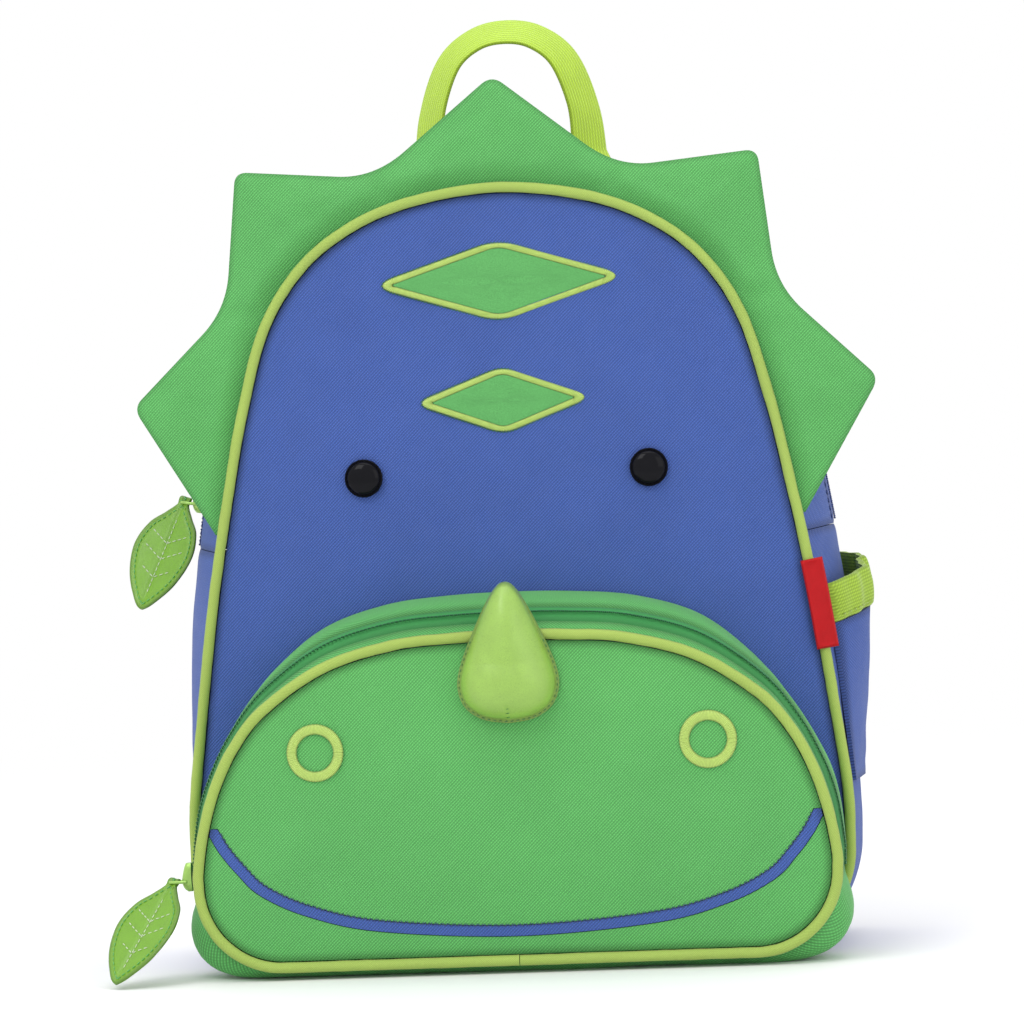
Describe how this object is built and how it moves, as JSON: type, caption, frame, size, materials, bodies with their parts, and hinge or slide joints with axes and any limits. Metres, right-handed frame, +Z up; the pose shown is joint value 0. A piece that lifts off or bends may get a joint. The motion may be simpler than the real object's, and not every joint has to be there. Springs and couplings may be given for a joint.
{
  "type": "kids animal backpack",
  "caption": "Small hollow child's backpack with an animal face, a padded spiked frill, a zipped muzzle pocket, a side pocket, a carrying handle and padded shoulder straps",
  "frame": {"origin": "on the floor, under the middle of the bag body, on the flat base of the bottom gusset", "axes": "+Z up, the face looks along -Y, +X to the viewer's right when looking at the face; millimetres in the source, metres here"},
  "size_m": [0.3046, 0.1825, 0.3845],
  "materials": {
    "blue_fabric": "woven polyester, fine diagonal weave",
    "green_fabric": "woven polyester, fine diagonal weave",
    "lime_piping": "fabric-covered piping and binding",
    "lime_webbing": "ribbed webbing",
    "lime_stitching": "satin stitch embroidery",
    "blue_zip": "coil zip on woven tape",
    "green_zip": "coil zip on woven tape",
    "leaf_leather": "smooth faux leather, stitched edge",
    "horn_leather": "smooth faux leather, satin",
    "black_eye": "glossy domed button",
    "black_lock": "moulded",
    "red_tag": "woven satin tag, blank",
    "zip_slider": "painted"
  },
  "bodies": {
    "root": {"face_panel": "blue_fabric", "back_panel": "blue_fabric", "face_piping": "lime_piping", "back_piping": "blue_fabric", "gusset_front": "blue_fabric", "gusset_back": "blue_fabric", "main_zip": "blue_zip", "gusset_bottom": "blue_fabric", "frill": "green_fabric", "diamond_upper": "green_fabric", "diamond_lower": "green_fabric", "diamond_border_upper": "lime_stitching", "diamond_border_lower": "lime_stitching", "eye_left": "black_eye", "eye_right": "black_eye", "muzzle_panel": "green_fabric", "mouth_line": "blue_fabric", "muzzle_lip": "green_fabric", "muzzle_piping": "lime_piping", "muzzle_gusset_front": "green_fabric", "muzzle_zip": "green_zip", "muzzle_gusset_back": "green_fabric", "muzzle_gusset_bottom": "green_fabric", "nostril_ring_left": "lime_stitching", "nostril_ring_right": "lime_stitching", "horn": "horn_leather", "side_pocket": "blue_fabric", "pocket_binding": "lime_piping", "side_label": "red_tag", "main_slider": "zip_slider", "main_leaf": "leaf_leather", "muzzle_slider": "zip_slider", "muzzle_leaf": "leaf_leather", "top_handle": "lime_webbing", "shoulder_strap_left": "blue_fabric", "shoulder_strap_right": "blue_fabric", "strap_webbing_left": "lime_webbing", "strap_webbing_right": "lime_webbing", "ladder_lock_left": "black_lock", "ladder_lock_right": "black_lock", "strap_anchor_left": "blue_fabric", "strap_anchor_right": "blue_fabric"}
  },
  "joints": []
}
